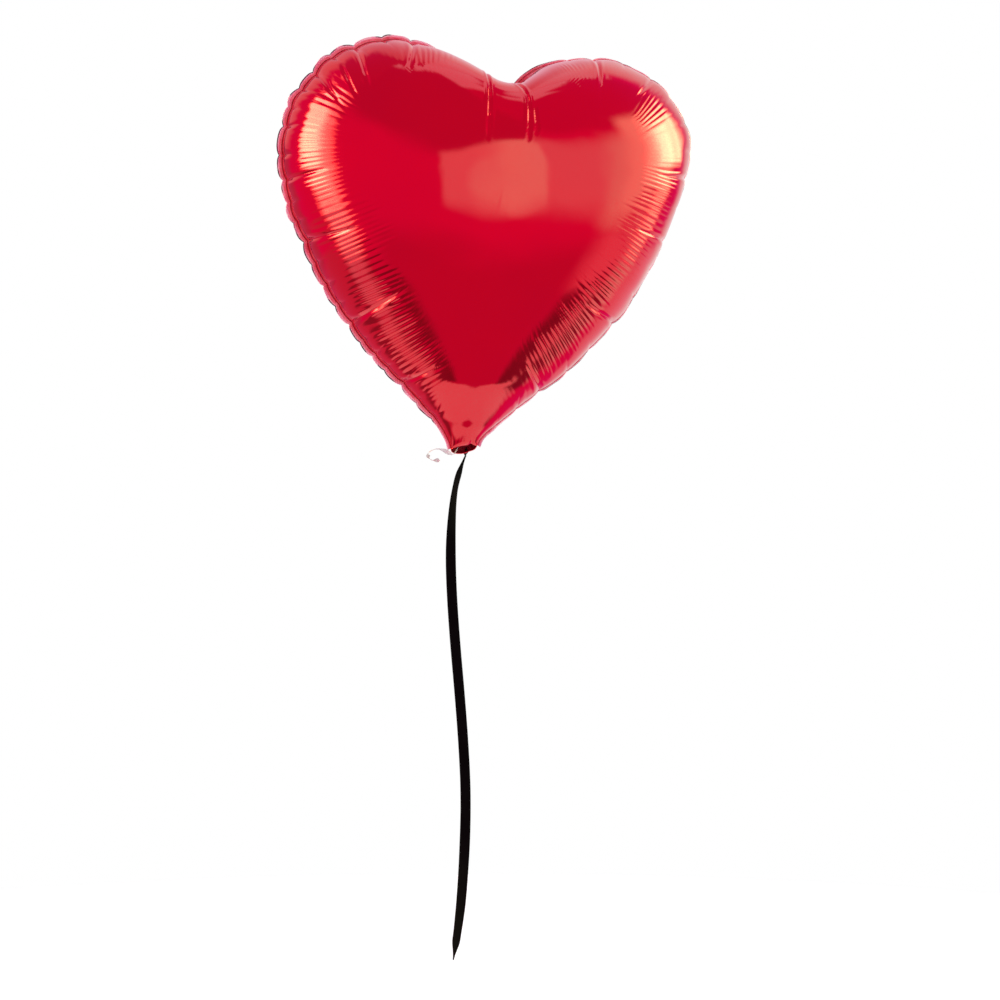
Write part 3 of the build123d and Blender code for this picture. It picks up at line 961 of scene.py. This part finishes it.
# ---------------------------------------------------------------- floor
FLOOR_Z, FLOOR_SIDES, FLOOR_RADII = -0.50, 96, (0.25, 0.6, 1.0)
a = np.linspace(0, 2 * pi, FLOOR_SIDES, endpoint=False)
rings = [np.c_[r * np.cos(a), r * np.sin(a), np.full(FLOOR_SIDES, FLOOR_Z)] for r in FLOOR_RADII]
faces = [tuple(range(FLOOR_SIDES)), *grid_faces(len(FLOOR_RADII), FLOOR_SIDES, closed=True, flip=True)]
mat, g, b, co = material("pale_floor")
grain = g.noise(co, 40.0, 4.0)
g.put(b.inputs["Base Color"], g.mix(grain, (0.52, 0.66, 0.78), (0.56, 0.70, 0.82)))
b.inputs["Emission Color"].default_value = (1.0, 1.0, 1.0, 1.0)
b.inputs["Emission Strength"].default_value = 0.5
b.inputs["Roughness"].default_value = 0.9
b.inputs["Specular IOR Level"].default_value = 0.1
floor = new_mesh("floor", np.vstack(rings), faces, None, mat)
floor.visible_glossy = False


# ---------------------------------------------------------------- studio
CEILING, BEHIND = (0.95, 1.20, 1.25), (0.85, 0.45, 0.55)
DARK, GLOW = (0.15, 0.05, 0.08), (1.00, 1.12, 0.98)
# The room, each patch over those before it: colour, first and last azimuth (0 is -Y, and 90 is +X), lowest
# and highest elevation, softness of those four edges, and where they are given, slopes of the lower and upper
# edges and strength. All angles are in degrees.
PATCHES = [
    # dimmer room above and below the front
    ((0.66, 0.03, 0.28), -66, 22, 14, 99, (8, 6, 6, 1), (-0.45, 0.0)),
    ((0.74, 0.02, 0.31), 22, 112, 22, 99, (5, 8, 4, 3), (0.12, 0.0)),
    ((0.68, 0.04, 0.28), -190, -60, 58, 99, (1, 8, 4, 1)),
    ((0.68, 0.03, 0.28), -50, 56, -67, -19, (12, 14, 2, 10)),
    ((0.75, 0.14, 0.34), -190, -60, -52, -22, (1, 8, 3, 5)),
    ((0.94, 0.95, 0.95), -86, -64, -44, -18, (5, 5, 4, 4)),
    # pale ceiling behind its edge
    (CEILING, 18, 56, 64, 99, (4, 5, 2, 1)),
    (CEILING, 50, 108, 70, 99, (5, 5, 2, 1)),
    (CEILING, -60, 20, 80, 99, (10, 5, 3, 1)),
    ((0.95, 1.00, 1.05), 108, 190, 57, 99, (5, 1, 3, 1)),
    # the far sides, seen near the edge of the heart
    ((0.62, 0.12, 0.28), -190, -124, -22, 8, (1, 8, 5, 4)),
    ((0.95, 0.50, 0.55), -190, -122, 8, 60, (1, 8, 4, 5)),
    ((0.95, 0.80, 0.80), 122, 190, -30, 60, (8, 1, 8, 6)),
    (BEHIND, 160, 190, -62, 99, (16, 1, 6, 1)),
    (BEHIND, -190, -160, -62, 99, (1, 16, 6, 1)),
    # lower right flank
    ((1.00, 0.60, 0.72), 54, 136, -35, -12, (10, 10, 3, 4)),
    ((1.02, 1.70, 1.25), 80, 100, -38, -24, (6, 6, 3, 6)),
    # the bright patch in the middle and its way to the right window
    ((1.00, 1.00, 0.90), 18, 66, -1, 19, (3, 6, 6, 3), (-0.10, 0.05)),
    ((1.02, 1.10, 0.95), -4, 22, -2, 17, (2.5, 3, 3, 2), (-0.05, 0.0)),
    ((1.08, 2.30, 1.40), 10, 21, 0, 17, (3, 2, 4, 2)),
    ((1.04, 1.90, 1.20), 50, 68, -10, 24, (6, 5, 5, 5)),
    ((1.20, 2.40, 1.40), 61, 98, -7, 35, (6, 6, 5, 4)),
    ((5.50, 6.20, 3.10), 78, 114, 5, 31, (6, 6, 4, 4)),
    ((9.50, 11.0, 5.20), 85, 101, 7, 26, (4, 5, 4, 5)),
    ((3.20, 3.60, 2.00), 86, 99, -13, -3, (4, 4, 3, 4)),
    # left window
    ((4.00, 4.20, 2.40), -88, -64, -19, 2, (5, 4, 4, 4)),
    ((2.60, 2.70, 1.70), -76, -63, -6, 40, (4, 4, 4, 5)),
    ((4.20, 4.50, 2.60), -118, -94, 19, 49, (6, 5, 5, 3), (-0.3, 0.0)),
    ((8.00, 9.00, 4.50), -98, -72, 0, 51, (3, 5, 4, 2.5), (0.0, 0.1)),
    ((14.0, 15.5, 7.0), -93, -76, 4, 22, (4, 5, 5, 8)),
    # dark things low at the sides, then the floor's glow
    (DARK, -66, -35, -53, -41, (6, 4, 2.5, 3), (0.0, 0.0), 0.78),
    (DARK, -122, -84, -50, -40, (10, 8, 2.5, 3), (0.0, 0.0), 0.7),
    (DARK, 53, 96, -60, -36, (5, 8, 2.5, 3), (0.0, 0.0), 0.82),
    (GLOW, -190, -56, -95, -52.5, (1, 6, 1, 3)),
    (GLOW, -62, 14, -95, -63.3, (4, 4, 1, 2), (0.0, -0.172)),
    (GLOW, 6, 76, -95, -68.5, (4, 5, 1, 2), (0.0, 0.35)),
    (GLOW, 68, 190, -95, -50, (6, 1, 1, 2.5)),
]


def studio():
    """Soft light painted by direction: two warm windows at the sides and a dimmer room between them."""
    world = bpy.data.worlds.new("studio")
    bpy.context.scene.world = world
    world.use_nodes = True
    g = Nodes(world.node_tree)
    way = g.new("ShaderNodeTexCoord").outputs["Generated"]
    sep = g.new("ShaderNodeSeparateXYZ", {0: way})
    x, y, z = sep.outputs
    alpha = g.math("MULTIPLY", g.math("ARCTAN2", x, g.math("MULTIPLY", y, -1.0)), 180 / pi)
    level = g.math("MULTIPLY", g.math("ARCSINE", z), 180 / pi)
    # nothing in the room is quite straight
    alpha = g.math("MULTIPLY_ADD", g.math("ADD", g.noise(way, 7.0, 3.0), -0.5), 6.0, alpha)
    level = g.math("MULTIPLY_ADD", g.math("ADD", g.noise(way, 5.0, 3.0, 0.6), -0.5), 4.0, level)

    def patch(colour, under, a0, a1, e0, e1, soft=(4, 4, 4, 4), slopes=(0.0, 0.0), strength=1.0):
        """Light between azimuths a0, a1 and elevations e0, e1; slopes tilt its lower and upper edges."""
        sa0, sa1, se0, se1 = soft
        after_a0 = g.step(alpha, a0 - sa0, a0 + sa0)
        mask = g.math("MULTIPLY", after_a0, g.step(alpha, a1 - sa1, a1 + sa1, 1.0, 0.0))
        for e, soft_e, slope, ends in ((e0, se0, slopes[0], (0.0, 1.0)), (e1, se1, slopes[1], (1.0, 0.0))):
            v = g.math("MULTIPLY_ADD", alpha, -slope, level) if slope else level
            mask = g.math("MULTIPLY", mask, g.step(v, e - soft_e, e + soft_e, *ends))
        if strength != 1.0:
            mask = g.math("MULTIPLY", mask, strength)
        return g.mix(mask, under, colour)

    c = (0.88, 0.02, 0.38)
    for colour, *where in PATCHES:
        c = patch(colour, c, *where)
    seen = g.new("ShaderNodeLightPath").outputs["Is Camera Ray"]
    bg = g.new("ShaderNodeBackground", {"Color": g.mix(seen, c, (1.0, 1.0, 1.0))})
    out = g.new("ShaderNodeOutputWorld")
    g.tree.links.new(bg.outputs[0], out.inputs[0])


studio()
